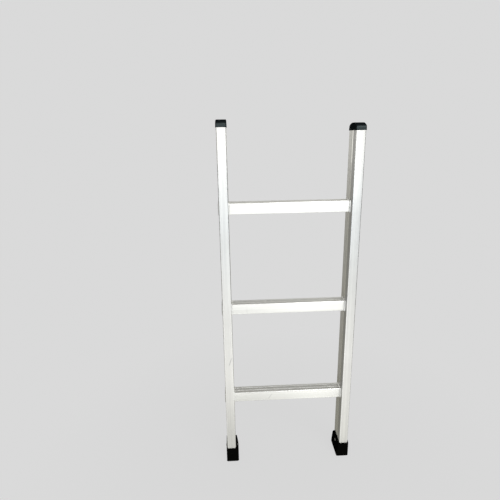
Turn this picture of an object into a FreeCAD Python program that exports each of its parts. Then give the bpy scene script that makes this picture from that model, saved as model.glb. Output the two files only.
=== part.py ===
import FreeCAD, Part
import math
import os

# Straight aluminium ladder section. Millimetres, X along the rungs, Y front to back, Z up.
# The origin lies on the ground, midway between the two feet.

# Overall layout
OVERALL_WIDTH = 366.0
LEFT_STILE_TOP = 984.0
RIGHT_STILE_DROP = 11.5
STILE_BOTTOM = 12.0
BOTTOM_RUNG_CENTRE = 213.5
RUNG_PITCH = 280.0
RUNG_NAMES = ("bottom_rung", "middle_rung", "top_rung")

# Stile section, an extruded box with one shallow groove along each side face
STILE_WIDTH = 25.0
STILE_DEPTH = 60.0
STILE_WALL = 1.4
STILE_CORNER = 2.6
STILE_GROOVE_WIDTH = 5.0
STILE_GROOVE_DEPTH = 0.7
STILE_GROOVE_FROM_BACK = 34.5

# Rung section, an extruded box with a grooved tread
RUNG_HEIGHT = 30.0
RUNG_DEPTH = 30.0
RUNG_WALL = 1.6
RUNG_CORNER = 1.6
TREAD_GROOVE_WIDTH = 5.0
TREAD_GROOVE_FLOOR = 3.4
TREAD_GROOVE_DEPTH = 0.9
TREAD_GROOVE_PITCH = 12.0
TREAD_GROOVE_COUNT = 2
RUNG_SLOT_CLEARANCE = 0.2

# Swaged collars that lock each rung to the stile walls
OUTER_COLLAR_RISE = 1.8
OUTER_COLLAR_LENGTH = 2.0
INNER_COLLAR_RISE = 1.2
INNER_COLLAR_LENGTH = 2.4
COLLAR_CHAMFER = 0.7

# End cap, a moulded hood over the top of a stile, cored out above the stile's bore
CAP_WALL = 1.1
CAP_CLEARANCE = 0.15
CAP_SKIRT = 10.2
CAP_TOP_WALL = 8.5
CAP_SHOULDER_HEIGHT = 10.8
CAP_SHOULDER_LENGTH = 24.0
CAP_CORNER = 3.0
CAP_EDGE_CHAMFER = 1.4
CAP_CORE_WIDTH = 19.0
CAP_CORE_DEPTH = 40.0
CAP_CORE_HEIGHT = 4.5
CAP_SOCKET_CHAMFER = 1.0

# Foot, a moulded shoe with a front lip, two raised cheeks and a flare towards the inside
FOOT_LIP_HEIGHT = 44.0
FOOT_CHEEK_HEIGHT = 48.0
FOOT_LIP_WALL = 3.0
FOOT_LIP_RAMP = 4.0
FOOT_BACK_WALL = 3.0
FOOT_BACK_ROUND = 14.0
FOOT_OUTER_WALL = 2.8
FOOT_INNER_WALL = 2.4
FOOT_WELT_HEIGHT = 3.5
FOOT_WELT_REACH = 8.8
FOOT_FLARE_POWER = 1.4
FOOT_FLARE_STEPS = 3
FOOT_SOLE_INSET = 2.0
FOOT_CORNER = 3.6
FOOT_CLEARANCE = 0.15

# Cross grooves in the sole
SOLE_GROOVE_WIDTH = 3.0
SOLE_GROOVE_DEPTH = 2.0
SOLE_GROOVE_PITCH = 10.0
SOLE_GROOVE_COUNT = 5

# Blind rivets that pin each cheek to the stile wall
RIVET_HEIGHT = 34.0
RIVET_SHANK_RADIUS = 2.0
RIVET_HOLE_CLEARANCE = 0.15
RIVET_HEAD_RADIUS = 3.6
RIVET_HEAD_RISE = 1.4
RIVET_HEAD_CHAMFER = 1.0
RIVET_SPOT_RADIUS = 5.0
RIVET_BULB_RADIUS = 2.9
RIVET_BULB_LENGTH = 2.2
RIVET_BULB_CHAMFER = 0.8
RIVET_SIDES = 16

# Overshoot of a cutting shape past the surface that it cuts
MARGIN = 5.0

# Derived positions
HALF_WIDTH = OVERALL_WIDTH / 2
HALF_DEPTH = STILE_DEPTH / 2
INNER_FACE = HALF_WIDTH - STILE_WIDTH
STILE_CENTRE = HALF_WIDTH - STILE_WIDTH / 2
RIGHT_STILE_TOP = LEFT_STILE_TOP - RIGHT_STILE_DROP


def vector(x, y, z):
    return FreeCAD.Vector(x, y, z)


def rounded_wire(x_low, x_high, y_low, y_high, radius):
    """Closed rounded rectangle in the plane z = 0."""
    corners = (
        (x_high - radius, y_high - radius, 0),
        (x_low + radius, y_high - radius, 90),
        (x_low + radius, y_low + radius, 180),
        (x_high - radius, y_low + radius, 270),
    )
    arcs = []
    for x, y, start in corners:
        circle = Part.makeCircle(radius, vector(x, y, 0), vector(0, 0, 1), start, start + 90)
        arcs.append(circle)
    edges = []
    for index, arc in enumerate(arcs):
        following = arcs[(index + 1) % len(arcs)]
        edges.append(arc)
        edges.append(Part.makeLine(arc.Vertexes[-1].Point, following.Vertexes[0].Point))
    return Part.Wire(edges)


def rounded_face(size_x, size_y, radius):
    """Rounded rectangle face centred on the origin."""
    return Part.Face(rounded_wire(-size_x / 2, size_x / 2, -size_y / 2, size_y / 2, radius))


def polygon_face(points):
    """Flat face through a list of corner points."""
    return Part.Face(Part.makePolygon(list(points) + [points[0]]))


def square_face(size_x, size_y):
    """Sharp-cornered rectangle face centred on the origin."""
    corners = ((-1, -1), (1, -1), (1, 1), (-1, 1))
    return polygon_face([vector(x * size_x / 2, y * size_y / 2, 0) for x, y in corners])


def round_bar(radius, length):
    """Small round bar along X from the origin, drawn with flat sides."""
    turns = [2 * math.pi * index / RIVET_SIDES for index in range(RIVET_SIDES)]
    outline = polygon_face([vector(radius * math.cos(turn), radius * math.sin(turn), 0) for turn in turns])
    return stand_along_x(outline.extrude(vector(0, 0, length)))


def stand_along_x(shape):
    """Turn a shape drawn along Z so that it runs along X, its Y axis kept."""
    turned = shape.copy()
    turned.rotate(vector(0, 0, 0), vector(0, 1, 0), 90)
    return turned


def mirrored(shape):
    """Mirror a right-hand piece to the left side."""
    return shape.mirror(vector(0, 0, 0), vector(1, 0, 0))


def row(count, pitch):
    """Positions of equally spaced features centred on zero."""
    return [pitch * (index - (count - 1) / 2) for index in range(count)]


def rung_heights():
    return [BOTTOM_RUNG_CENTRE + RUNG_PITCH * index for index in range(len(RUNG_NAMES))]


def stile_profile():
    """Section of the stile: rounded box, side grooves and bore."""
    section = rounded_face(STILE_WIDTH, STILE_DEPTH, STILE_CORNER)
    groove_y = HALF_DEPTH - STILE_GROOVE_FROM_BACK
    for side in (-1, 1):
        face_x = side * STILE_WIDTH / 2
        groove = polygon_face((
            vector(face_x, groove_y - STILE_GROOVE_WIDTH / 2, 0),
            vector(face_x, groove_y + STILE_GROOVE_WIDTH / 2, 0),
            vector(face_x - side * STILE_GROOVE_DEPTH, groove_y, 0),
        ))
        section = section.cut(groove)
    return section.cut(square_face(STILE_WIDTH - 2 * STILE_WALL, STILE_DEPTH - 2 * STILE_WALL))


def rung_slot(height):
    """Punched slot through both walls of the right stile."""
    size_z = RUNG_HEIGHT + 2 * RUNG_SLOT_CLEARANCE
    size_y = RUNG_DEPTH + 2 * RUNG_SLOT_CLEARANCE
    face = rounded_face(size_z, size_y, RUNG_CORNER + RUNG_SLOT_CLEARANCE)
    punch = stand_along_x(face.extrude(vector(0, 0, STILE_WIDTH + 2 * MARGIN)))
    punch.translate(vector(INNER_FACE - MARGIN, 0, height))
    return punch


def rivet_hole():
    """Drilled hole through both cheeks of the right foot and both walls of its stile."""
    low, high = foot_span()
    hole = round_bar(RIVET_SHANK_RADIUS + RIVET_HOLE_CLEARANCE, high - low)
    hole.translate(vector(low, 0, RIVET_HEIGHT))
    return hole


def make_stile(top):
    """Right stile, from the floor of its foot to the given top."""
    body = stile_profile().extrude(vector(0, 0, top - STILE_BOTTOM))
    body.translate(vector(STILE_CENTRE, 0, STILE_BOTTOM))
    return body.cut([rung_slot(height) for height in rung_heights()] + [rivet_hole()])


def rung_bore_face():
    return square_face(RUNG_HEIGHT - 2 * RUNG_WALL, RUNG_DEPTH - 2 * RUNG_WALL)


def rung_profile():
    """Section of the rung with its tread on top, drawn with height along -X."""
    section = rounded_face(RUNG_HEIGHT, RUNG_DEPTH, RUNG_CORNER)
    top = -RUNG_HEIGHT / 2
    floor = top + TREAD_GROOVE_DEPTH
    for groove_y in row(TREAD_GROOVE_COUNT, TREAD_GROOVE_PITCH):
        groove = polygon_face((
            vector(top, groove_y - TREAD_GROOVE_WIDTH / 2, 0),
            vector(top, groove_y + TREAD_GROOVE_WIDTH / 2, 0),
            vector(floor, groove_y + TREAD_GROOVE_FLOOR / 2, 0),
            vector(floor, groove_y - TREAD_GROOVE_FLOOR / 2, 0),
        ))
        section = section.cut(groove)
    return section.cut(rung_bore_face())


def collar(seat_x, length, rise):
    """Swaged ring round the rung, from the stile face at seat_x outwards, its free rim rolled."""
    ring = rounded_face(RUNG_HEIGHT + 2 * rise, RUNG_DEPTH + 2 * rise, RUNG_CORNER + rise)
    ring = ring.extrude(vector(0, 0, abs(length)))
    rim = [edge for edge in ring.Edges if edge.BoundBox.ZMin > abs(length) / 2]
    ring = ring.makeChamfer(COLLAR_CHAMFER, rim)
    ring = ring.cut(rung_bore_face().extrude(vector(0, 0, abs(length))))
    ring = stand_along_x(ring)
    if length < 0:
        ring = mirrored(ring)
    ring.translate(vector(seat_x, 0, 0))
    return ring


def make_rung():
    """Rung through both stiles, with a collar on each side of each stile."""
    end = HALF_WIDTH + OUTER_COLLAR_LENGTH
    tube = stand_along_x(rung_profile().extrude(vector(0, 0, 2 * end)))
    tube.translate(vector(-end, 0, 0))
    rings = [
        collar(HALF_WIDTH, OUTER_COLLAR_LENGTH, OUTER_COLLAR_RISE),
        collar(INNER_FACE, -INNER_COLLAR_LENGTH, INNER_COLLAR_RISE),
    ]
    rings += [mirrored(ring) for ring in rings]
    return tube.fuse(rings).removeSplitter()


def cap_side_profile(top):
    """Side view of the cap's hood: straight skirt, rounded shoulders and flat crown."""
    half = HALF_DEPTH + CAP_WALL + CAP_CLEARANCE
    bottom = top - CAP_SKIRT
    crown = top + CAP_TOP_WALL
    shoulder = bottom + CAP_SHOULDER_HEIGHT
    crest = half - CAP_SHOULDER_LENGTH
    rise = crown - shoulder
    radius = (CAP_SHOULDER_LENGTH ** 2 + rise ** 2) / (2 * rise)
    sweep = math.asin(CAP_SHOULDER_LENGTH / radius) / 2
    middle_y = crest + radius * math.sin(sweep)
    middle_z = crown - radius * (1 - math.cos(sweep))
    front = Part.Arc(vector(0, -half, shoulder), vector(0, -middle_y, middle_z), vector(0, -crest, crown))
    back = Part.Arc(vector(0, crest, crown), vector(0, middle_y, middle_z), vector(0, half, shoulder))
    edges = [
        Part.makeLine(vector(0, -half, bottom), vector(0, -half, shoulder)),
        front.toShape(),
        Part.makeLine(vector(0, -crest, crown), vector(0, crest, crown)),
        back.toShape(),
        Part.makeLine(vector(0, half, shoulder), vector(0, half, bottom)),
        Part.makeLine(vector(0, half, bottom), vector(0, -half, bottom)),
    ]
    return Part.Face(Part.Wire(edges))


def is_crown_side_edge(edge, bottom):
    """Whether an edge runs along the side of the crown or a shoulder."""
    box = edge.BoundBox
    above_skirt = box.ZMax > bottom + MARGIN
    front_to_back = box.YLength > max(box.ZLength, MARGIN) and box.XLength < CAP_CORNER
    return above_skirt and front_to_back


def make_cap(top):
    """Right end cap, seated on the top of its stile, with its crown cored out."""
    grow = 2 * (CAP_WALL + CAP_CLEARANCE)
    width = STILE_WIDTH + grow
    bottom = top - CAP_SKIRT
    hood = cap_side_profile(top).extrude(vector(width, 0, 0))
    hood.translate(vector(STILE_CENTRE - width / 2, 0, 0))
    plan = rounded_face(width, STILE_DEPTH + grow, CAP_CORNER)
    plan = plan.extrude(vector(0, 0, CAP_SKIRT + CAP_TOP_WALL + MARGIN))
    plan.translate(vector(STILE_CENTRE, 0, bottom))
    hood = hood.common(plan)
    crown_edges = [edge for edge in hood.Edges if is_crown_side_edge(edge, bottom)]
    hood = hood.makeChamfer(CAP_EDGE_CHAMFER, crown_edges)
    socket = square_face(STILE_WIDTH + 2 * CAP_CLEARANCE, STILE_DEPTH + 2 * CAP_CLEARANCE)
    socket = socket.extrude(vector(0, 0, CAP_SKIRT))
    upright = [edge for edge in socket.Edges if edge.BoundBox.ZLength > MARGIN]
    socket = socket.makeChamfer(CAP_SOCKET_CHAMFER, upright)
    socket.translate(vector(STILE_CENTRE, 0, bottom))
    core = square_face(CAP_CORE_WIDTH, CAP_CORE_DEPTH).extrude(vector(0, 0, CAP_CORE_HEIGHT))
    core.translate(vector(STILE_CENTRE, 0, top))
    return hood.cut([socket, core])


def foot_reach(height):
    """How far the inner cheek stands off the stile's inner face at one height."""
    share = (height - FOOT_WELT_HEIGHT) / (FOOT_CHEEK_HEIGHT - FOOT_WELT_HEIGHT)
    return FOOT_WELT_REACH - (FOOT_WELT_REACH - FOOT_INNER_WALL) * share ** FOOT_FLARE_POWER


def foot_span():
    """Lowest and highest X that a cut right through the right foot has to cover."""
    return INNER_FACE - FOOT_WELT_REACH - MARGIN, HALF_WIDTH + FOOT_OUTER_WALL + MARGIN


def foot_section(height, reach, inset):
    """Plan outline of the right foot at one height."""
    wire = rounded_wire(
        INNER_FACE - reach + inset,
        HALF_WIDTH + FOOT_OUTER_WALL - inset,
        -HALF_DEPTH - FOOT_LIP_WALL + inset,
        HALF_DEPTH + FOOT_BACK_WALL - inset,
        FOOT_CORNER,
    )
    wire.translate(vector(0, 0, height))
    return wire


def foot_side_profile():
    """Side view of the foot: low front lip, level cheeks and a rounded back shoulder."""
    front = -HALF_DEPTH - FOOT_LIP_WALL - MARGIN
    back = HALF_DEPTH + FOOT_BACK_WALL
    shoulder = back - FOOT_BACK_ROUND
    low = FOOT_CHEEK_HEIGHT - FOOT_BACK_ROUND
    ramp = -HALF_DEPTH
    outline = [
        (shoulder, FOOT_CHEEK_HEIGHT),
        (ramp + FOOT_LIP_RAMP, FOOT_CHEEK_HEIGHT),
        (ramp, FOOT_LIP_HEIGHT),
        (front, FOOT_LIP_HEIGHT),
        (front, -MARGIN),
        (back + MARGIN, -MARGIN),
        (back + MARGIN, low),
        (back, low),
    ]
    arc = Part.makeCircle(FOOT_BACK_ROUND, vector(0, shoulder, low), vector(1, 0, 0), 0, 90)
    straight = Part.makePolygon([vector(0, y, z) for y, z in outline])
    return Part.Face(Part.Wire(straight.Edges + [arc]))


def foot_body():
    """Outer form of the right foot, lofted from the sole up its flare and trimmed to the side view."""
    sections = [foot_section(0, FOOT_WELT_REACH, FOOT_SOLE_INSET)]
    for step in range(FOOT_FLARE_STEPS + 1):
        height = FOOT_WELT_HEIGHT + (FOOT_CHEEK_HEIGHT - FOOT_WELT_HEIGHT) * step / FOOT_FLARE_STEPS
        sections.append(foot_section(height, foot_reach(height), 0))
    low, high = foot_span()
    outline = foot_side_profile().extrude(vector(high - low, 0, 0))
    outline.translate(vector(low, 0, 0))
    return Part.makeLoft(sections, True, True).common(outline)


def sole_grooves():
    """Cutting bars for the cross grooves in the sole."""
    low, high = foot_span()
    bars = []
    for groove_y in row(SOLE_GROOVE_COUNT, SOLE_GROOVE_PITCH):
        corner = vector(low, groove_y - SOLE_GROOVE_WIDTH / 2, -MARGIN)
        bars.append(Part.makeBox(high - low, SOLE_GROOVE_WIDTH, MARGIN + SOLE_GROOVE_DEPTH, corner))
    return bars


def inner_rivet_seat():
    """X of the spot face that carries the inner rivet's head."""
    return INNER_FACE - foot_reach(RIVET_HEIGHT + RIVET_SPOT_RADIUS)


def make_foot():
    """Right foot, with its socket, rivet seat and sole grooves."""
    socket = square_face(STILE_WIDTH + 2 * FOOT_CLEARANCE, STILE_DEPTH + 2 * FOOT_CLEARANCE)
    socket = socket.extrude(vector(0, 0, FOOT_CHEEK_HEIGHT))
    socket.translate(vector(STILE_CENTRE, 0, STILE_BOTTOM))
    spot = round_bar(RIVET_SPOT_RADIUS, FOOT_WELT_REACH + MARGIN)
    spot.translate(vector(inner_rivet_seat() - FOOT_WELT_REACH - MARGIN, 0, RIVET_HEIGHT))
    return foot_body().cut([socket, spot, rivet_hole()] + sole_grooves())


def domed_bar(radius, length, chamfer):
    """Small round bar along X from the origin, its far rim chamfered."""
    bar = round_bar(radius, length)
    rim = [edge for edge in bar.Edges if edge.BoundBox.XMin > length / 2]
    return bar.makeChamfer(chamfer, rim)


def make_rivet(seat_x, wall_x):
    """Domed blind rivet from its seat on a cheek through to the bulb inside the stile wall."""
    grip = abs(seat_x - wall_x)
    head = domed_bar(RIVET_HEAD_RADIUS, RIVET_HEAD_RISE, RIVET_HEAD_CHAMFER)
    shank = round_bar(RIVET_SHANK_RADIUS, grip)
    shank.translate(vector(-grip, 0, 0))
    bulb = mirrored(domed_bar(RIVET_BULB_RADIUS, RIVET_BULB_LENGTH, RIVET_BULB_CHAMFER))
    bulb.translate(vector(-grip, 0, 0))
    rivet = head.fuse([shank, bulb])
    if seat_x < wall_x:
        rivet = mirrored(rivet)
    rivet.translate(vector(seat_x, 0, RIVET_HEIGHT))
    return rivet


def build():
    """Every piece of the ladder by node name."""
    foot = make_foot()
    inner_rivet = make_rivet(inner_rivet_seat(), INNER_FACE + STILE_WALL)
    outer_rivet = make_rivet(HALF_WIDTH + FOOT_OUTER_WALL, HALF_WIDTH - STILE_WALL)
    pieces = {
        "left_stile": mirrored(make_stile(LEFT_STILE_TOP)),
        "right_stile": make_stile(RIGHT_STILE_TOP),
        "left_cap": mirrored(make_cap(LEFT_STILE_TOP)),
        "right_cap": make_cap(RIGHT_STILE_TOP),
        "left_foot": mirrored(foot),
        "right_foot": foot,
        "left_foot_inner_rivet": mirrored(inner_rivet),
        "left_foot_outer_rivet": mirrored(outer_rivet),
        "right_foot_inner_rivet": inner_rivet,
        "right_foot_outer_rivet": outer_rivet,
    }
    rung = make_rung()
    for name, height in zip(RUNG_NAMES, rung_heights()):
        placed = rung.copy()
        placed.translate(vector(0, 0, height))
        pieces[name] = placed
    return pieces


def main():
    os.makedirs("parts", exist_ok=True)
    for name, shape in build().items():
        if not shape.isValid() or len(shape.Solids) != 1:
            raise ValueError(f"{name} is not one valid solid: {len(shape.Solids)} solids")
        shape.Solids[0].exportStep(f"parts/{name}.step")
        box = shape.BoundBox
        print(name, f"{shape.Volume:.0f} mm3", f"{box.XMin:.1f} {box.XMax:.1f}",
              f"{box.YMin:.1f} {box.YMax:.1f}", f"{box.ZMin:.1f} {box.ZMax:.1f}")


main()
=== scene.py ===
import logging
import math
from collections.abc import Callable, Iterable, Sequence
from dataclasses import dataclass, field
from enum import Enum

import bmesh
import bpy
from mathutils import Matrix, Vector


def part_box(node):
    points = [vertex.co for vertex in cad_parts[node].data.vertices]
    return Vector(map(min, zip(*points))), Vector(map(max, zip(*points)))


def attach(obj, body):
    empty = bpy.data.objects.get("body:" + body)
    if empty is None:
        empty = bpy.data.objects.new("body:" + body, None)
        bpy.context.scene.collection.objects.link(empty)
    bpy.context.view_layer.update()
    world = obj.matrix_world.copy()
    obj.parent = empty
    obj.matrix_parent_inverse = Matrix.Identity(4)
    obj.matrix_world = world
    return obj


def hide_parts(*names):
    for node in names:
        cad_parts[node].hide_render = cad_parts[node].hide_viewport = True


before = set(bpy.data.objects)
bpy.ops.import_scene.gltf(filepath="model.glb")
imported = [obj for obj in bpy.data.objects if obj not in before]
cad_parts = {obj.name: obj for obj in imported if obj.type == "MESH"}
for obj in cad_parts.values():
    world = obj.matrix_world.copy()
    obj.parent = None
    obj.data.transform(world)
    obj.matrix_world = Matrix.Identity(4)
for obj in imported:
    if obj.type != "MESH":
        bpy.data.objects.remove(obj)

# Looks of a short straight aluminium ladder. Metres, X along the rungs, Y front to back, Z up.

MM = 0.001
TINY = 1e-6
FACING = 0.5  # A face looks along an axis when this much of its normal does.
BODY = "root"

Piece = bpy.types.Object
Material = bpy.types.Material
Socket = bpy.types.NodeSocket
Colour = tuple[float, float, float]
Place = tuple[float, float, float]
Span = tuple[float, float]
Inputs = dict[str | int, object]

log = logging.getLogger("ladder")


class Side(Enum):
    """Side of the ladder, as a sign along X."""

    LEFT = -1
    RIGHT = 1

    @property
    def word(self) -> str:
        """Name of the side as node names spell it."""
        return self.name.lower()


class Grain(Enum):
    """Direction in which an extruded section left its die."""

    ALONG_RUNG = (1.0, 0.0, 0.0)
    ALONG_STILE = (0.0, 0.0, 1.0)


class Bench:
    """One mesh on the bench: a primitive that is shaped in edit mode and handed over as a piece."""

    def __init__(self, name: str) -> None:
        """Name the active primitive and open it in edit mode.

        Args:
            name: Name of the new piece.
        """
        self.piece = bpy.context.object
        self.piece.name = name
        bpy.ops.object.transform_apply(location=True, rotation=True, scale=True)
        bpy.ops.object.mode_set(mode="EDIT")

    @classmethod
    def block(cls, name: str, low: Vector, high: Vector) -> "Bench":
        """Start from a box between its lowest and its highest corner."""
        bpy.ops.mesh.primitive_cube_add(size=1.0, location=(low + high) / 2, scale=high - low)
        return cls(name)

    @classmethod
    def disc_bar(cls, name: str, radius: float, start: Vector, end: Vector, sides: int) -> "Bench":
        """Start from a round bar along X.

        Args:
            name: Name of the new piece.
            radius: Radius of the bar.
            start: Centre of one end.
            end: Centre of the other end.
            sides: How many sides approximate the circle.

        Returns:
            The bench with the bar in edit mode.
        """
        bpy.ops.mesh.primitive_cylinder_add(
            vertices=sides, radius=radius, depth=(end - start).length,
            location=(start + end) / 2, rotation=(0.0, math.pi / 2, 0.0),
        )
        return cls(name)

    def _pick(self, mode: str, test: Callable[[object], bool]) -> None:
        """Select the elements of the mesh that pass a test, and nothing else.

        Args:
            mode: Select mode, which is VERT, EDGE or FACE.
            test: Takes one element.
        """
        bpy.ops.mesh.select_mode(type=mode)
        bpy.ops.mesh.select_all(action="DESELECT")
        shape = bmesh.from_edit_mesh(self.piece.data)
        for element in getattr(shape, f"{mode.lower()}s"):
            if test(element):
                element.select_set(True)
        shape.select_flush_mode()
        bmesh.update_edit_mesh(self.piece.data, loop_triangles=False, destructive=False)

    def pick_vertices(self, test: Callable[[Vector], bool]) -> None:
        """Select the vertices whose place passes a test."""
        self._pick("VERT", lambda vertex: test(vertex.co))

    def pick_edges(self, test: Callable[[Vector, Vector], bool]) -> None:
        """Select the edges whose two ends pass a test."""
        self._pick("EDGE", lambda edge: test(edge.verts[0].co, edge.verts[1].co))

    def pick_rims(self, test: Callable[[Vector], bool]) -> None:
        """Select the edges of holes that have both ends where a test passes."""
        self._pick("EDGE", lambda edge: edge.is_boundary and all(test(end.co) for end in edge.verts))

    def pick_faces(self, test: Callable[[Vector, Vector], bool]) -> None:
        """Select the faces whose centre and normal pass a test."""
        self._pick("FACE", lambda face: test(face.calc_center_median(), face.normal))

    def levels(self, axis: int, test: Callable[[Vector], bool]) -> list[float]:
        """Distinct places along an axis of the vertices that pass a test.

        Args:
            axis: Index of the axis.
            test: Takes a vertex's place.

        Returns:
            The places in rising order.
        """
        shape = bmesh.from_edit_mesh(self.piece.data)
        found = sorted(vertex.co[axis] for vertex in shape.verts if test(vertex.co))
        return [place for place, before in zip(found, [-math.inf, *found]) if place - before > TINY]

    def bevel(self, width: float, steps: int) -> None:
        """Round the selected edges by a radius in a number of steps."""
        bpy.ops.mesh.bevel(offset=width, segments=steps, profile=0.5, affect="EDGES", clamp_overlap=False)

    def bevel_rim(self, width: float, steps: int) -> None:
        """Round the edges that go round the selected faces."""
        bpy.ops.mesh.region_to_loop()
        self.bevel(width, steps)

    def move(self, x: float = 0.0, z: float = 0.0) -> None:
        """Move the selection."""
        bpy.ops.transform.translate(value=(x, 0.0, z))

    def stretch(self, about: Vector, x: float = 1.0, y: float = 1.0, z: float = 1.0) -> None:
        """Scale the selection about a point."""
        bpy.ops.transform.resize(value=(x, y, z), center_override=about)

    def extrude(self, x: float = 0.0, z: float = 0.0) -> None:
        """Extrude the selection by a distance."""
        bpy.ops.mesh.extrude_region_move(TRANSFORM_OT_translate={"value": (x, 0.0, z)})

    def inset(self, width: float) -> None:
        """Inset the selected faces together by a width."""
        bpy.ops.mesh.inset(thickness=width, use_even_offset=True, use_boundary=True)

    def drop_faces(self) -> None:
        """Delete the selected faces."""
        bpy.ops.mesh.delete(type="FACE")

    def score(self, axis: int, places: Iterable[float]) -> None:
        """Cut edge loops right round the piece, square to an axis.

        Args:
            axis: Index of the axis that the cuts are square to.
            places: Where the cuts lie along it.
        """
        direction = Vector((0.0, 0.0, 0.0))
        direction[axis] = 1.0
        for place in places:
            bpy.ops.mesh.select_all(action="SELECT")
            bpy.ops.mesh.bisect(plane_co=direction * place, plane_no=direction, threshold=TINY)

    def hollow(self, axis: int, ends: Span, wall: float) -> None:
        """Bore the piece right through, leaving a wall all round.

        Args:
            axis: Index of the axis that the bore follows.
            ends: Where the two end faces lie along it.
            wall: Wall thickness.
        """
        def at_end(place: Vector) -> bool:
            """Whether a place lies in one of the two end faces."""
            return min(abs(place[axis] - end) for end in ends) < TINY

        self.pick_faces(lambda centre, normal: at_end(centre))
        self.inset(wall)
        self.drop_faces()
        self.pick_rims(at_end)
        bpy.ops.mesh.bridge_edge_loops()

    def hand_over(self, angle: float) -> Piece:
        """Close edit mode with the faces turned outwards and the gentle edges smoothed.

        Args:
            angle: Edges sharper than this many degrees stay sharp.

        Returns:
            The finished piece.
        """
        bpy.ops.mesh.select_all(action="SELECT")
        bpy.ops.mesh.remove_doubles(threshold=TINY)
        bpy.ops.mesh.normals_make_consistent(inside=False)
        bpy.ops.object.mode_set(mode="OBJECT")
        bpy.ops.object.shade_smooth_by_angle(angle=math.radians(angle))
        return self.piece


def activate(piece: Piece) -> None:
    """Make one piece the only selected and active object.

    Args:
        piece: The piece.
    """
    bpy.ops.object.select_all(action="DESELECT")
    piece.select_set(True)
    bpy.context.view_layer.objects.active = piece


def combine(piece: Piece, tool: Piece, operation: str) -> None:
    """Cut one piece with another or join them. The other one is used up.

    Args:
        piece: The piece that stays.
        tool: The piece that is used up.
        operation: DIFFERENCE or UNION.
    """
    activate(piece)
    step = piece.modifiers.new("Step", "BOOLEAN")
    step.operation = operation
    step.solver = "EXACT"
    step.object = tool
    bpy.ops.object.modifier_apply(modifier=step.name)
    bpy.data.objects.remove(tool)


def copy_piece(piece: Piece, name: str, lift: float = 0.0, flip: bool = False) -> Piece:
    """Copy a finished piece with a mesh of its own.

    Args:
        piece: The piece to copy.
        name: Name of the copy.
        lift: How much higher the copy lies.
        flip: Whether the copy is mirrored to the other side of the ladder.

    Returns:
        The copy, with its place in its mesh.
    """
    activate(piece)
    bpy.ops.object.duplicate(linked=False)
    copy = bpy.context.object
    copy.name = name
    if flip:
        bpy.ops.transform.resize(value=(-1.0, 1.0, 1.0), center_override=(0.0, 0.0, 0.0))
    bpy.ops.transform.translate(value=(0.0, 0.0, lift))
    bpy.ops.object.transform_apply(location=True, rotation=True, scale=True)
    if flip:
        bpy.ops.object.mode_set(mode="EDIT")
        bpy.ops.mesh.select_all(action="SELECT")
        bpy.ops.mesh.normals_make_consistent(inside=False)
        bpy.ops.object.mode_set(mode="OBJECT")
    return copy


def grey(level: float) -> tuple[float, float, float, float]:
    """Neutral colour of a level from 0 to 1."""
    return (level, level, level, 1.0)


def opaque(colour: Sequence[float]) -> tuple[float, float, float, float]:
    """Colour with full alpha."""
    return (colour[0], colour[1], colour[2], 1.0)


@dataclass(frozen=True)
class Pattern:
    """A random pattern: waves in a metre, the part of it that shows, strength, depth and finer octaves."""

    count: float
    window: Span
    share: float = 1.0
    depth: float = 0.0
    octaves: float = 3.0


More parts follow.
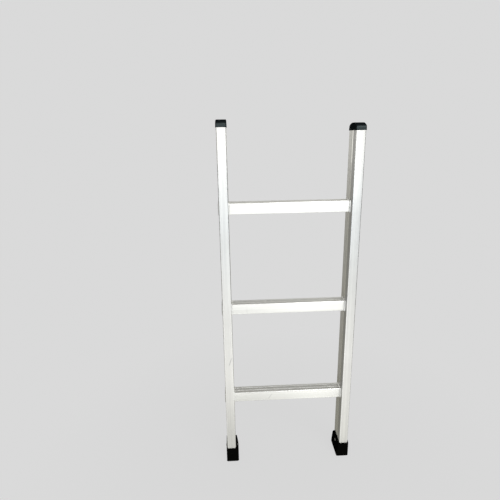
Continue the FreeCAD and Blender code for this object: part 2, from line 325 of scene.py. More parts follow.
class Graph:
    """A node tree, with short calls for the nodes that the finishes and the studio share."""

    def __init__(self, tree: bpy.types.NodeTree) -> None:
        """Empty a node tree to work in it.

        Args:
            tree: Node tree of a material or of the world.
        """
        self.tree = tree
        self.tree.nodes.clear()
        self.coordinates = self.add("ShaderNodeTexCoord").outputs

    def add(self, kind: str, inputs: Inputs | None = None, **settings: object) -> bpy.types.Node:
        """Add a node.

        Args:
            kind: Node type.
            inputs: Numbers, colours or outputs for its inputs, by name or index.
            settings: Properties to set on it.

        Returns:
            The new node.
        """
        node = self.tree.nodes.new(kind)
        for key, value in settings.items():
            setattr(node, key, value)
        self.feed(node, inputs or {})
        return node

    def feed(self, node: bpy.types.Node, inputs: Inputs) -> None:
        """Set inputs of a node, and link those that are to take an output.

        Args:
            node: The node.
            inputs: Numbers, colours or outputs for its inputs, by name or index.
        """
        for name, value in inputs.items():
            if isinstance(value, Socket):
                self.tree.links.new(value, node.inputs[name])
            else:
                node.inputs[name].default_value = value

    def parts(self, vector: Socket) -> Sequence[Socket]:
        """X, Y and Z of a vector."""
        return self.add("ShaderNodeSeparateXYZ", {"Vector": vector}).outputs

    def facing(self) -> Sequence[Socket]:
        """X, Y and Z of the direction that the surface faces."""
        return self.parts(self.add("ShaderNodeNewGeometry").outputs["Normal"])

    def noise(self, place: Socket, pattern: Pattern) -> Socket:
        """Soft random pattern from 0 to 1."""
        inputs = {"Vector": place, "Scale": pattern.count, "Detail": pattern.octaves}
        return self.add("ShaderNodeTexNoise", inputs).outputs["Fac"]

    def remap(self, value: Socket, source: Span, target: Span = (0.0, 1.0)) -> Socket:
        """Map a range of values onto another and clamp it."""
        ends = zip(("From Min", "From Max", "To Min", "To Max"), (*source, *target))
        return self.add("ShaderNodeMapRange", {"Value": value, **dict(ends)}, clamp=True).outputs["Result"]

    def math(self, operation: str, first: object, *others: object) -> Socket:
        """Combine numbers one after the other.

        Args:
            operation: Name of the operation.
            first: Number or output.
            others: Numbers or outputs, and none for an operation on a single number.

        Returns:
            The result.
        """
        result = first
        for other in others or (0.0,):
            result = self.add("ShaderNodeMath", {0: result, 1: other}, operation=operation).outputs["Value"]
        return result

    def vector(self, operation: str, inputs: Inputs) -> Sequence[Socket]:
        """Outputs of one step of vector arithmetic."""
        return self.add("ShaderNodeVectorMath", inputs, operation=operation).outputs

    def blend(self, share: object, first: object, second: object) -> Socket:
        """Mix two colours by the share that the second one has."""
        mix = self.add("ShaderNodeMix", {"Factor": share, "A": first, "B": second}, data_type="RGBA")
        return mix.outputs["Result"]

    def ramp(self, value: Socket, span: Span, stops: Sequence[tuple[float, Sequence[float]]]) -> Socket:
        """Colour along a number line.

        Args:
            value: Number to read.
            span: Lowest and highest number that the ramp covers.
            stops: Pairs of a number and the colour there, in rising order.

        Returns:
            The colour.
        """
        node = self.add("ShaderNodeValToRGB", {"Fac": self.remap(value, span)})
        elements = node.color_ramp.elements
        while len(elements) < len(stops):
            elements.new(0.5)
        for element, (place, colour) in zip(elements, stops):
            element.position = (place - span[0]) / (span[1] - span[0])
            element.color = opaque(colour)
        return node.outputs["Color"]

    def light_path(self) -> tuple[Socket, Socket]:
        """Whether a ray comes from the camera, and whether it comes by a reflection or through glass."""
        path = self.add("ShaderNodeLightPath").outputs
        return path["Is Camera Ray"], self.math("MAXIMUM", path["Is Glossy Ray"], path["Is Transmission Ray"])


class SurfaceGraph(Graph):
    """Node tree of one material with a Principled shader."""

    def __init__(self, name: str) -> None:
        """Start a material with its shader and its output.

        Args:
            name: Name of the material.
        """
        self.material = bpy.data.materials.new(name)
        self.material.use_nodes = True
        super().__init__(self.material.node_tree)
        self.place = self.coordinates["Object"]
        self.shader = self.add("ShaderNodeBsdfPrincipled")
        self.output = self.add("ShaderNodeOutputMaterial", {"Surface": self.shader.outputs["BSDF"]})

    def stretched(self, scale: Sequence[float], turn: Sequence[float] = (0.0, 0.0, 0.0)) -> Socket:
        """Object coordinates turned by degrees about each axis and scaled along it."""
        inputs = {"Vector": self.place, "Rotation": [math.radians(angle) for angle in turn], "Scale": scale}
        return self.add("ShaderNodeMapping", inputs, vector_type="POINT").outputs["Vector"]

    def bump(self, height: Socket, depth: float, below: Inputs | None = None) -> Inputs:
        """Relief of a real depth, as the normal for a shader or for a relief on top of it."""
        inputs = {"Strength": 1.0, "Distance": depth, "Height": height, **(below or {})}
        return {"Normal": self.add("ShaderNodeBump", inputs).outputs["Normal"]}

    def surface(self, looks: Inputs) -> Material:
        """Set or link the shader's inputs and give back the finished material."""
        self.feed(self.shader, looks)
        return self.material


@dataclass(frozen=True)
class Scratch:
    """One scratch across a front face, with its two ends as places in X and Z."""

    start: Span
    end: Span
    width: float
    depth: float
    taper: float = 0.3
    front: Span = (-0.9, -0.97)

    def mask(self, graph: SurfaceGraph) -> Socket:
        """How deep the scratch is at a place.

        Args:
            graph: The material in work.

        Returns:
            The depth, which is zero beside the scratch.
        """
        run = Vector(self.end) - Vector(self.start)
        length = run.length
        along = self._measure(graph, run / length)
        off = graph.math("ABSOLUTE", self._measure(graph, Vector((run.y, -run.x)) / length))
        middle = graph.math("ABSOLUTE", graph.math("SUBTRACT", along, length / 2))
        return graph.math(
            "MULTIPLY",
            graph.remap(off, (self.width / 4, self.width / 2), (self.depth, 0.0)),
            graph.remap(middle, (self.taper * length, length / 2), (1.0, 0.0)),
            graph.remap(graph.facing()["Y"], self.front),
        )

    def _measure(self, graph: SurfaceGraph, direction: Vector) -> Socket:
        """Distance of a place from the scratch's start, measured along a direction in X and Z."""
        shift = graph.vector("SUBTRACT", {0: graph.place, 1: (self.start[0], 0.0, self.start[1])})["Vector"]
        return graph.vector("DOT_PRODUCT", {0: shift, 1: (direction.x, 0.0, direction.y)})["Value"]


@dataclass(frozen=True)
class ExtrudedAluminium:
    """Satin mill-finish aluminium with die lines along its grain, faint clouds and fine scuffs.

    The lands carry painted shade: they darken the front strip of the stile sides and draw dark lines along
    the grooves and edges of the rung treads. They are pairs of a place along the depth of the section, in
    millimetres, and the share of painted shade there.
    """

    name: str
    grain: Grain
    lands: tuple[Span, ...]
    land_span: Span
    scratch: Scratch
    colour: Colour = (0.83, 0.825, 0.805)
    dull_level: float = 0.5
    rubbed_level: float = 0.92
    roughness: float = 0.40
    roughness_play: Span = (-0.03, 0.05)
    roughness_window: Span = (0.3, 0.75)
    scuff_roughness: float = 0.1
    rubbed_polish: float = 0.20
    anisotropy: float = 0.80
    anisotropy_turn: float = 0.25
    stretch: float = 0.012
    lines: Pattern = Pattern(2600.0, (0.3, 0.7), 0.08, 0.004 * MM)
    bands: Pattern = Pattern(210.0, (0.35, 0.65), 0.22, 0.06 * MM)
    clouds: Pattern = Pattern(9.0, (0.35, 0.7), 0.10)
    scuffs: Pattern = Pattern(700.0, (0.66, 0.74), 0.3, 0.01 * MM, octaves=1.0)
    scuff_patches: Pattern = Pattern(22.0, (0.52, 0.7), octaves=2.0)
    scuff_turns: tuple[Place, ...] = ((0.0, 35.0, 0.0), (0.0, -50.0, 0.0), (25.0, 10.0, 0.0))
    scuff_stretch: float = 0.03
    corner_turn: Span = (0.985, 0.93)
    rub_patches: Pattern = Pattern(35.0, (0.3, 0.6), 0.45)
    groove_place: float | None = None
    groove_reach: float = 2.6 * MM
    groove_floor: float = 0.8
    groove_polish: float = 0.26

    def make(self) -> Material:
        """Build the material.

        Returns:
            The finished material.
        """
        graph = SurfaceGraph(self.name)
        lines = self._drawn(graph, self.lines)
        bands = self._drawn(graph, self.bands)
        clouds = graph.noise(graph.place, self.clouds)
        scuffs = self._scuffs(graph)
        rubbed_and_highlit = self._rubbed_corners(graph)
        noises = ((clouds, self.clouds), (bands, self.bands), (lines, self.lines))
        dulling_and_shade = [graph.remap(noise, pattern.window, (0.0, pattern.share)) for noise, pattern in noises]
        dulling_and_shade.append(graph.math("MULTIPLY", scuffs, self.scuffs.share))
        # Painted shade: the land bands darken the front strip of the stile sides and draw lines along the
        # rung treads.
        dulling_and_shade += [self._land_tone(graph), self.scratch.mask(graph)]
        # The grey blend carries the real grain, clouds, scuffs and scratch together with the painted shade of
        # the land bands.
        dull_and_shade = graph.math("MULTIPLY", graph.math("ADD", *dulling_and_shade), graph.math("SUBTRACT", 1.0, rubbed_and_highlit))
        shade = graph.blend(dull_and_shade, opaque(self.colour), grey(self.dull_level))
        low, high = self.roughness_play
        rough = graph.math(
            "ADD",
            graph.remap(clouds, self.roughness_window, (self.roughness + low, self.roughness + high)),
            graph.remap(lines, self.lines.window, (low, -low)),
            graph.math("MULTIPLY", scuffs, self.scuff_roughness),
            graph.math("MULTIPLY", rubbed_and_highlit, -self.rubbed_polish),
        )
        if self.groove_place is not None:
            rough = graph.math("SUBTRACT", rough, self._burnish(graph))
        along = graph.add("ShaderNodeCombineXYZ", dict(enumerate(self.grain.value)))
        relief = graph.bump(bands, self.bands.depth)
        relief = graph.bump(lines, self.lines.depth, relief)
        return graph.surface({
            # Painted highlight, partly real rubbed wear: the rounded corners are brightened towards pale grey
            # and kept clear of the painted shade.
            "Base Color": graph.blend(rubbed_and_highlit, shade, grey(self.rubbed_level)),
            "Roughness": rough,
            "Metallic": 1.0,
            "Anisotropic": self.anisotropy,
            "Anisotropic Rotation": self.anisotropy_turn,
            "Tangent": along.outputs["Vector"],
            **graph.bump(scuffs, self.scuffs.depth, relief),
        })

    def _drawn(self, graph: SurfaceGraph, pattern: Pattern) -> Socket:
        """Pattern that the die draws out along the section."""
        scale = [self.stretch if part else 1.0 for part in self.grain.value]
        return graph.noise(graph.stretched(scale), pattern)

    def _land_tone(self, graph: SurfaceGraph) -> Socket:
        """Painted shade in bands beside and in the grooves, read along the depth of the section."""
        stops = [(spot * MM, grey(tone)) for spot, tone in self.lands]
        return graph.ramp(graph.parts(graph.place)["Y"], self.land_span, stops)

    def _burnish(self, graph: SurfaceGraph) -> Socket:
        """How much smoother the die left the groove than the lands beside it.

        Args:
            graph: The material in work.

        Returns:
            What the roughness loses there.
        """
        off = graph.math("ABSOLUTE", graph.math("SUBTRACT", graph.parts(graph.place)["Y"], self.groove_place))
        edge = (self.groove_floor * self.groove_reach, self.groove_reach)
        return graph.remap(off, edge, (self.groove_polish, 0.0))

    def _rubbed_corners(self, graph: SurfaceGraph) -> Socket:
        """Where the rounded corners are brightened, partly as real rubbed wear and partly as a painted
        highlight.

        Args:
            graph: The material in work.

        Returns:
            One on the corners, less in patches, and zero on the flats.
        """
        most = graph.math("MAXIMUM", *(graph.math("ABSOLUTE", part) for part in graph.facing()))
        patches = graph.noise(graph.place, self.rub_patches)
        patches = graph.remap(patches, self.rub_patches.window, (self.rub_patches.share, 1.0))
        return graph.math("MULTIPLY", graph.remap(most, self.corner_turn), patches)

    def _scuffs(self, graph: SurfaceGraph) -> Socket:
        """Short scratches at a few angles, gathered in patches.

        Args:
            graph: The material in work.

        Returns:
            One on a scratch and zero beside it.
        """
        scale = (1.0, 1.0, self.scuff_stretch)
        streaks = [
            graph.remap(graph.noise(graph.stretched(scale, turn), self.scuffs), self.scuffs.window)
            for turn in self.scuff_turns
        ]
        patches = graph.noise(graph.place, self.scuff_patches)
        shown = graph.remap(patches, self.scuff_patches.window)
        return graph.math("MULTIPLY", graph.math("MAXIMUM", *streaks), shown)


@dataclass(frozen=True)
class MouldedBlack:
    """Black moulded plastic or rubber, with a spark-eroded grain and a little dust on top.

    The gloss of the front and the back can differ from the gloss of the sides.
    """

    name: str
    colour: Colour
    roughness: float
    gloss: float
    dust: float
    side_gloss: float = 0.0
    sheen: Colour = (1.0, 1.0, 1.0)
    front: Span = (0.85, 0.99)
    grain: Pattern = Pattern(1900.0, (0.0, 1.0), depth=0.03 * MM, octaves=4.0)
    patches: Pattern = Pattern(60.0, (0.3, 0.7), octaves=4.0)
    roughness_play: Span = (-0.05, 0.07)
    dust_window: Span = (0.4, 0.75)
    dust_level: float = 0.35
    settling: tuple[Span, Span] = ((0.2, 1.0), (0.15, 1.0))

    def make(self) -> Material:
        """Build the material.

        Returns:
            The finished material.
        """
        graph = SurfaceGraph(self.name)
        grain = graph.noise(graph.place, self.grain)
        patches = graph.noise(graph.place, self.patches)
        facing = graph.facing()
        settled = graph.remap(facing["Z"], *self.settling)
        dust = graph.math("MULTIPLY", graph.remap(patches, self.dust_window, (0.0, self.dust)), settled)
        shine: object = self.gloss
        if self.side_gloss != self.gloss:
            front = graph.math("ABSOLUTE", facing["Y"])
            shine = graph.remap(front, self.front, (self.side_gloss, self.gloss))
        play = [self.roughness + part for part in self.roughness_play]
        return graph.surface({
            "Base Color": graph.blend(dust, opaque(self.colour), grey(self.dust_level)),
            "Roughness": graph.remap(patches, self.patches.window, play),
            "Specular IOR Level": shine,
            "Specular Tint": opaque(self.sheen),
            **graph.bump(grain, self.grain.depth),
        })


@dataclass(frozen=True)
class RivetMetal:
    """Bright aluminium of a blind rivet, with the marks of its setting tool and the sloping rim of its head
    darkened almost to black.
    """

    name: str
    colour: Colour = (0.84, 0.84, 0.83)
    stained_level: float = 0.3
    grime_level: float = 0.03
    rim: Span = (0.55, 0.75)
    roughness: float = 0.34
    roughness_play: Span = (-0.08, 0.1)
    marks: Pattern = Pattern(1500.0, (0.3, 0.7), depth=0.02 * MM)
    stains: Pattern = Pattern(300.0, (0.4, 0.7), 0.4, octaves=2.0)

    def make(self) -> Material:
        """Build the material.

        Returns:
            The finished material.
        """
        graph = SurfaceGraph(self.name)
        marks = graph.noise(graph.place, self.marks)
        stains = graph.noise(graph.place, self.stains)
        stains = graph.remap(stains, self.stains.window, (0.0, self.stains.share))
        stained = graph.blend(stains, opaque(self.colour), grey(self.stained_level))
        # The faces of the head that turn away from its axis are darkened almost to black.
        rim = graph.remap(graph.math("ABSOLUTE", graph.facing()["X"]), self.rim, (1.0, 0.0))
        play = [self.roughness + part for part in self.roughness_play]
        return graph.surface({
            "Base Color": graph.blend(rim, stained, grey(self.grime_level)),
            "Roughness": graph.remap(marks, self.marks.window, play),
            "Metallic": 1.0,
            **graph.bump(marks, self.marks.depth),
        })


def dress(piece: Piece, material: Material, node: str) -> None:
    """Give a finished piece its material and its place in the part.

    Args:
        piece: The finished piece.
        material: Its material.
        node: The solid that the piece stands for.
    """
    piece.data.materials.clear()
    piece.data.materials.append(material)
    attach(piece, BODY)
    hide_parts(node)


def spread(count: int, pitch: float) -> list[float]:
    """Places at an even pitch about zero."""
    return [pitch * (index - (count - 1) / 2) for index in range(count)]


@dataclass
class FittedPiece:
    """A piece that is built in the box of the solid that it stands for."""

    node: str

    def __post_init__(self) -> None:
        """Look up the corners and the centre of the solid's box."""
        self.low, self.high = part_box(self.node)
        self.centre = (self.low + self.high) / 2


@dataclass
class Stile(FittedPiece):
    """A box-section stile with a groove along each side and a punched slot for each rung."""

    rung_heights: list[float]
    wall: float = 1.4 * MM
    corner: float = 2.6 * MM
    corner_steps: int = 6
    groove_width: float = 5.0 * MM
    groove_depth: float = 0.7 * MM
    groove_from_back: float = 34.5 * MM
    slot_size: float = 30.4 * MM
    slot_corner: float = 1.8 * MM
    slot_steps: int = 4
    smooth_angle: float = 12.0

    def build(self) -> Piece:
        """Model the stile.

        Returns:
            The finished piece.
        """
        self.bench = bench = Bench.block(f"{self.node}_extrusion", self.low, self.high)
        bench.pick_edges(lambda a, b: abs(a.z - b.z) > TINY)
        bench.bevel(self.corner, self.corner_steps)
        bench.hollow(2, (self.low.z, self.high.z), self.wall)
        half = self.slot_size / 2
        groove_y = self.high.y - self.groove_from_back
        bench.score(1, [-half, *(groove_y + share * self.groove_width / 2 for share in (-1, 0, 1)), half])
        bench.score(2, [height + sign * half for height in self.rung_heights for sign in (-1, 1)])
        walls = ((self.low.x, 1.0), (self.high.x, -1.0))
        for height in self.rung_heights:
            for face, inward in walls:
                self._punch(face + inward * self.wall / 2, height)
        for face, inward in walls:
            bench.pick_vertices(lambda v: abs(v.x - face) < TINY and abs(v.y - groove_y) < TINY)
            bench.move(x=inward * self.groove_depth)
        return bench.hand_over(self.smooth_angle)

    def _punch(self, wall_x: float, height: float) -> None:
        """Open one slot through one wall and round its corners.

        Args:
            wall_x: X of the middle of the wall.
            height: Height of the rung's centre.
        """
        half = self.slot_size / 2

        def in_slot(place: Vector) -> bool:
            """Whether a place lies in the slot's opening."""
            beside = abs(place.x - wall_x) < self.wall
            return beside and abs(place.y) < half + TINY and abs(place.z - height) < half + TINY

        def is_corner(a: Vector, b: Vector) -> bool:
            """Whether an edge is a corner of the slot, running through the wall."""
            through = in_slot(a) and in_slot(b) and abs(a.x - b.x) > self.wall / 2
            return through and abs(abs(a.y) - half) < TINY and abs(abs(a.z - height) - half) < TINY

        self.bench.pick_faces(lambda centre, normal: in_slot(centre) and abs(normal.x) > FACING)
        self.bench.drop_faces()
        self.bench.pick_rims(in_slot)
        bpy.ops.mesh.bridge_edge_loops()
        self.bench.pick_edges(is_corner)
        self.bench.bevel(self.slot_corner, self.slot_steps)


@dataclass
class Rung(FittedPiece):
    """A square box-section rung with a grooved tread and swaged collars at the stiles."""

    stile_inner: float
    stile_outer: float
    size: float = 30.0 * MM
    wall: float = 1.6 * MM
    corner: float = 1.6 * MM
    corner_steps: int = 5
    groove_width: float = 5.0 * MM
    groove_floor: float = 3.4 * MM
    groove_depth: float = 0.9 * MM
    groove_pitch: float = 12.0 * MM
    groove_count: int = 2
    groove_stop: float = 2.0 * MM
    outer_rise: float = 1.8 * MM
    outer_round: float = 0.9
    inner_rise: float = 1.2 * MM
    inner_round: float = 1.0
    inner_length: float = 2.4 * MM
    bead_steps: int = 4
    step_back: float = 0.1 * MM
    mouth_flare: float = 0.7 * MM
    mouth_length: float = 0.8 * MM
    smooth_angle: float = 25.0

    def build(self) -> Piece:
        """Model the rung.

        Returns:
            The finished piece.
        """
        end = self.high.x
        half = Vector((end, self.size / 2, self.size / 2))
        self.bench = bench = Bench.block(f"{self.node}_extrusion", self.centre - half, self.centre + half)
        bench.pick_edges(lambda a, b: abs(a.x - b.x) > TINY)
        bench.bevel(self.corner, self.corner_steps)
        bench.hollow(0, (self.low.x, end), self.wall)
        stations = self._collar(self.stile_outer, end - self.stile_outer, self.outer_rise, self.outer_round)
        stations += self._collar(self.stile_inner, -self.inner_length, self.inner_rise, self.inner_round)
        groove_end = self.stile_inner - self.inner_length - self.groove_stop
        places = [place for place, rise in stations] + [groove_end, end - self.mouth_length]
        bench.score(0, [sign * place for place in places if place < end - TINY for sign in (-1, 1)])
        middles = spread(self.groove_count, self.groove_pitch)
        sides = [sign * width / 2 for width in (self.groove_width, self.groove_floor) for sign in (-1, 1)]
        bench.score(1, [middle + side for middle in middles for side in sides])
        for place, rise in stations:
            self._widen(place, rise, skin=True)
        self._widen(end, self.mouth_flare, skin=False)
        top = self.centre.z + self.size / 2
        bench.pick_vertices(
            lambda v: abs(v.z - top) < TINY and abs(v.x) < groove_end + TINY
            and min(abs(v.y - middle) for middle in middles) < self.groove_floor / 2 + TINY
        )
        bench.move(z=-self.groove_depth)
        return bench.hand_over(self.smooth_angle)

    def _collar(self, face: float, reach: float, rise: float, roundness: float) -> list[Span]:
        """Stations of the swaged collar at one face of the stile, as pairs of X and rise.

        Args:
            face: X of the stile's face.
            reach: How far the collar runs from there, negative towards the middle of the rung.
            rise: How far the collar stands out at the face.
            roundness: Share of a quarter circle that its profile follows.

        Returns:
            The stations, the first one just inside the stile.
        """
        stations = [(face - math.copysign(self.step_back, reach), 0.0)]
        for step in range(self.bead_steps + 1):
            share = step / self.bead_steps
            height = math.sqrt(max(0.0, 1.0 - (share * roundness) ** 2))
            stations.append((face + share * reach, rise * height))
        return stations

    def _widen(self, place: float, rise: float, skin: bool) -> None:
        """Push the outer skin or the bore out at one station on both ends.

        Args:
            place: Distance of the station from the middle.
            rise: How far it goes out.
            skin: Whether the skin goes out, and not the bore.
        """
        between = (self.size - self.wall) / 2
        grow = 1.0 + rise / (self.size / 2 - (0.0 if skin else self.wall))
        for sign in (-1, 1):
            about = Vector((sign * place, self.centre.y, self.centre.z))
            self.bench.pick_vertices(
                lambda v: abs(v.x - about.x) < TINY
                and (max(abs(v.y - about.y), abs(v.z - about.z)) > between) == skin
            )
            self.bench.stretch(about, y=grow, z=grow)


@dataclass
class EndCap(FittedPiece):
    """A moulded hood pushed over the top of a stile, cored out above the stile's bore."""

    wall: float = 1.1 * MM
    skirt: float = 10.2 * MM
    shoulder_height: float = 10.8 * MM
    shoulder_length: float = 24.0 * MM
    shoulder_steps: int = 8
    draft: float = 0.96
    corner: float = 3.0 * MM
    corner_steps: int = 5
    edge: float = 2.3 * MM
    edge_steps: int = 5
    rim: float = 0.35 * MM
    rim_steps: int = 2
    core_margin: float = 3.15 * MM
    core_share: float = 0.74
    core_height: float = 4.5 * MM
    crown_facing: float = 0.3
    smooth_angle: float = 30.0

    def build(self) -> Piece:
        """Model the cap.

        Returns:
            The finished piece.
        """
        low, high = self.low, self.high
        bench = Bench.block(f"{self.node}_hood", low, high)
        bench.pick_edges(lambda a, b: abs(a.z - b.z) > self.skirt / 2)
        bench.bevel(self.corner, self.corner_steps)
        start = high.y - self.shoulder_length
        shares = [step / self.shoulder_steps for step in range(self.shoulder_steps)]
        lines = [start + self.shoulder_length * share for share in shares]
        bench.score(1, [sign * line for line in lines for sign in (-1, 1)])
        for level in bench.levels(1, lambda v: v.z > high.z - TINY):
            bench.pick_vertices(lambda v: abs(v.y - level) < TINY and v.z > high.z - TINY)
            bench.move(z=-self._drop(abs(level) - start))
        bench.pick_vertices(lambda v: v.z > low.z + self.shoulder_height - TINY)
        bench.stretch(self.centre, x=self.draft)
        bench.pick_faces(lambda centre, normal: normal.z > self.crown_facing)
        bench.bevel_rim(self.edge, self.edge_steps)
        bench.pick_faces(lambda centre, normal: normal.z < -FACING)
        bench.inset(self.rim)
        bench.inset(self.wall - self.rim)
        bench.extrude(z=self.skirt)
        bench.inset(self.core_margin)
        bench.stretch(self.centre, y=self.core_share)
        bench.extrude(z=self.core_height)
        bench.pick_edges(lambda a, b: max(a.z, b.z) < low.z + TINY and self._on_skin(a))
        bench.bevel(self.rim / 2, self.rim_steps)
        return bench.hand_over(self.smooth_angle)

    def _on_skin(self, place: Vector) -> bool:
        """Whether a place lies on the hood's outer skin and not on its bore."""
        off = [min(place[axis] - self.low[axis], self.high[axis] - place[axis]) for axis in (0, 1)]
        return min(off) < self.rim / 2

    def _drop(self, past: float) -> float:
        """How far the rounded shoulder lies below the crown.

        Args:
            past: Distance beyond the line where the crown ends.

        Returns:
            The drop, which is zero on the crown.
        """
        rise = self.high.z - self.low.z - self.shoulder_height
        radius = (self.shoulder_length ** 2 + rise ** 2) / (2 * rise)
        return radius - math.sqrt(radius ** 2 - max(0.0, past) ** 2)


@dataclass
class Foot(FittedPiece):
    """A moulded shoe with a socket for the stile, a low front lip and two raised cheeks."""

    stile: str
    lip_height: float = 44.0 * MM
    cheek_height: float = 48.0 * MM
    lip_ramp: float = 4.0 * MM
    lip_wall: float = 3.0 * MM
    back_round: float = 15.0 * MM
    back_steps: int = 8
    inner_wall: float = 2.4 * MM
    welt_height: float = 3.5 * MM
    welt_reach: float = 8.8 * MM
    welt_tuck: float = 2.6 * MM
    flare_power: float = 1.4
    flare_steps: int = 7
    corner: float = 4.5 * MM
    corner_steps: int = 6
    sole_edge: float = 2.6 * MM
    sole_steps: int = 3
    clearance: float = 0.15 * MM
    floor: float = 12.0 * MM
    groove_width: float = 3.0 * MM
    groove_depth: float = 2.0 * MM
    groove_pitch: float = 10.0 * MM
    groove_count: int = 5
    cutter_overhang: float = 12.0 * MM
    rivet_height: float = 34.0 * MM
    hole_radius: float = 2.15 * MM
    hole_sides: int = 32
    spot_radius: float = 5.0 * MM
    spot_sides: int = 48
    rim_facing: float = 0.01
    smooth_angle: float = 30.0

    def __post_init__(self) -> None:
        """Look up the boxes of the foot and of the stile that stands in it."""
        super().__post_init__()
        self.stile_low, self.stile_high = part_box(self.stile)

    def build(self) -> Piece:
        """Model the right foot.

        Returns:
            The finished piece.
        """
        self.bench = Bench.block(f"{self.node}_shoe", self.low, self.high)
        self._side_view()
        self._round_corners()
        self._flare()
        self._socket()
        foot = self.bench.hand_over(self.smooth_angle)
        combine(foot, self._sole_bars(), "DIFFERENCE")
        combine(foot, self._drill(), "DIFFERENCE")
        activate(foot)
        bpy.ops.object.shade_smooth_by_angle(angle=math.radians(self.smooth_angle))
        return foot

    def _reach(self, height: float) -> float:
        """How far the inner cheek stands off the stile's inner face.

        Args:
            height: Height above the ground.

        Returns:
            The distance at that height.
        """
        if height < self.welt_height:
            return self.welt_reach - self.welt_tuck * (1.0 - height / self.welt_height) ** 2
        share = (height - self.welt_height) / (self.cheek_height - self.welt_height)
        return self.welt_reach - (self.welt_reach - self.inner_wall) * share ** self.flare_power

    def _side_view(self) -> None:
        """Round the back of the cheeks and drop the front lip."""
        high = self.high
        self.bench.pick_edges(lambda a, b: min(a.z, b.z) > high.z - TINY and min(a.y, b.y) > high.y - TINY)
        self.bench.bevel(self.back_round, self.back_steps)
        lip_back = self.low.y + self.lip_wall
        self.bench.score(1, [lip_back, lip_back + self.lip_ramp])
        self.bench.pick_vertices(lambda v: v.z > high.z - TINY and v.y < lip_back + TINY)
        self.bench.move(z=self.lip_height - self.cheek_height)

    def _round_corners(self) -> None:
        """Round the four upright corners and the edge of the sole."""
        def upright(a: Vector, b: Vector) -> bool:
            """Whether an edge is one of the four upright corners."""
            off = [min(abs(a[axis] - self.low[axis]), abs(a[axis] - self.high[axis])) for axis in (0, 1)]
            return max(off) < TINY and abs(a.z - b.z) > self.floor

        self.bench.pick_edges(upright)
        self.bench.bevel(self.corner, self.corner_steps)
        self.bench.pick_faces(lambda centre, normal: normal.z < -FACING)
        self.bench.bevel_rim(self.sole_edge, self.sole_steps)

    def _flare(self) -> None:
        """Draw the inner cheek in towards the stile as it rises."""
        step = (self.cheek_height - self.welt_height) / self.flare_steps
        inner = self.stile_low.x
        self.bench.score(2, [self.welt_height + step * index for index in range(1, self.flare_steps)])
        for level in self.bench.levels(2, lambda v: v.x < inner):
            self.bench.pick_vertices(lambda v: abs(v.z - level) < 2 * TINY and v.x < inner)
            self.bench.move(x=self.welt_reach - self._reach(level))

    def _socket(self) -> None:
        """Sink the socket for the stile."""
        low, high = self.stile_low, self.stile_high
        plan = [(low[axis] - self.clearance, high[axis] + self.clearance) for axis in (0, 1)]
        for axis, span in enumerate(plan):
            self.bench.score(axis, span)

        def inside(place: Vector) -> bool:
            """Whether a place lies within the socket's plan, above its floor."""
            off = [min(place[axis] - span[0], span[1] - place[axis]) for axis, span in enumerate(plan)]
            return min(off) > -TINY and place.z > self.floor

        self.bench.pick_faces(lambda centre, normal: inside(centre) and normal.z > self.rim_facing)
        self.bench.drop_faces()
        self.bench.pick_rims(inside)
        self.bench.extrude()
        self.bench.stretch(Vector((0.0, 0.0, self.floor)), z=0.0)
        bpy.ops.mesh.edge_face_add()

    def _sole_bars(self) -> Piece:
        """Cutter for the cross grooves in the sole.

        Returns:
            The cutter, as one mesh of several bars.
        """
        bars = []
        for middle in spread(self.groove_count, self.groove_pitch):
            half, over = self.groove_width / 2, self.cutter_overhang
            start = Vector((self.low.x - over, middle - half, self.low.z - over))
            end = Vector((self.high.x + over, middle + half, self.low.z + self.groove_depth))
            bars.append(Bench.block("sole_bar", start, end).hand_over(self.smooth_angle))
        activate(bars[0])
        for bar in bars[1:]:
            bar.select_set(True)
        bpy.ops.object.join()
        return bars[0]

    def _drill(self) -> Piece:
        """Cutter for the rivet hole and the spot face round it.

        Returns:
            The cutter.
        """
        seat = self.stile_low.x - self._reach(self.rivet_height + self.spot_radius)
        start, end, seat_centre = (
            Vector((x, 0.0, self.rivet_height))
            for x in (self.low.x - self.cutter_overhang, self.high.x + self.cutter_overhang, seat)
        )
        hole = Bench.disc_bar("drill", self.hole_radius, start, end, self.hole_sides)
        drill = hole.hand_over(self.smooth_angle)
        spot = Bench.disc_bar("spot", self.spot_radius, start, seat_centre, self.spot_sides)
        combine(drill, spot.hand_over(self.smooth_angle), "UNION")
        return drill


@dataclass
class Rivet(FittedPiece):
    """A domed blind rivet with the hollow that its pin leaves. Outward is the sign along X to its head."""

    outward: int
    head_radius: float = 3.6 * MM
    head_rise: float = 1.4 * MM
    dome: float = 1.15 * MM
    dome_steps: int = 5
    shank_radius: float = 2.0 * MM
    bulb_radius: float = 2.8 * MM
    bulb_length: float = 2.2 * MM
    pin_radius: float = 1.1 * MM
    pin_depth: float = 0.7 * MM
    sides: int = 32
    smooth_angle: float = 40.0

    def build(self) -> Piece:
        """Model the rivet.

        Returns:
            The finished piece.
        """
        end, top = (self.low.x, self.high.x)[::self.outward]
        inward = -self.outward
        seat = top + inward * self.head_rise
        grip = abs(seat - end) - self.bulb_length
        ends = [Vector((x, 0.0, self.centre.z)) for x in (seat, top, end)]
        bench = Bench.disc_bar(f"{self.node}_body", self.head_radius, ends[0], ends[1], self.sides)
        bench.pick_edges(lambda a, b: max(abs(a.x - top), abs(b.x - top)) < TINY)
        bench.bevel(self.dome, self.dome_steps)
        bench.pick_faces(lambda centre, normal: abs(centre.x - top) < TINY)
        bench.inset(self.head_radius - self.dome - self.pin_radius)
        bench.extrude(x=inward * self.pin_depth)
        bench.pick_faces(lambda centre, normal: abs(centre.x - seat) < TINY and inward * normal.x > FACING)
        bench.inset(self.head_radius - self.shank_radius)
        bench.extrude(x=inward * grip)
        bench.extrude()
        swell = self.bulb_radius / self.shank_radius
        bench.stretch(ends[0], y=swell, z=swell)
        bench.extrude(x=inward * self.bulb_length)
        bench.stretch(ends[2], y=1.0 / swell, z=1.0 / swell)
        return bench.hand_over(self.smooth_angle)


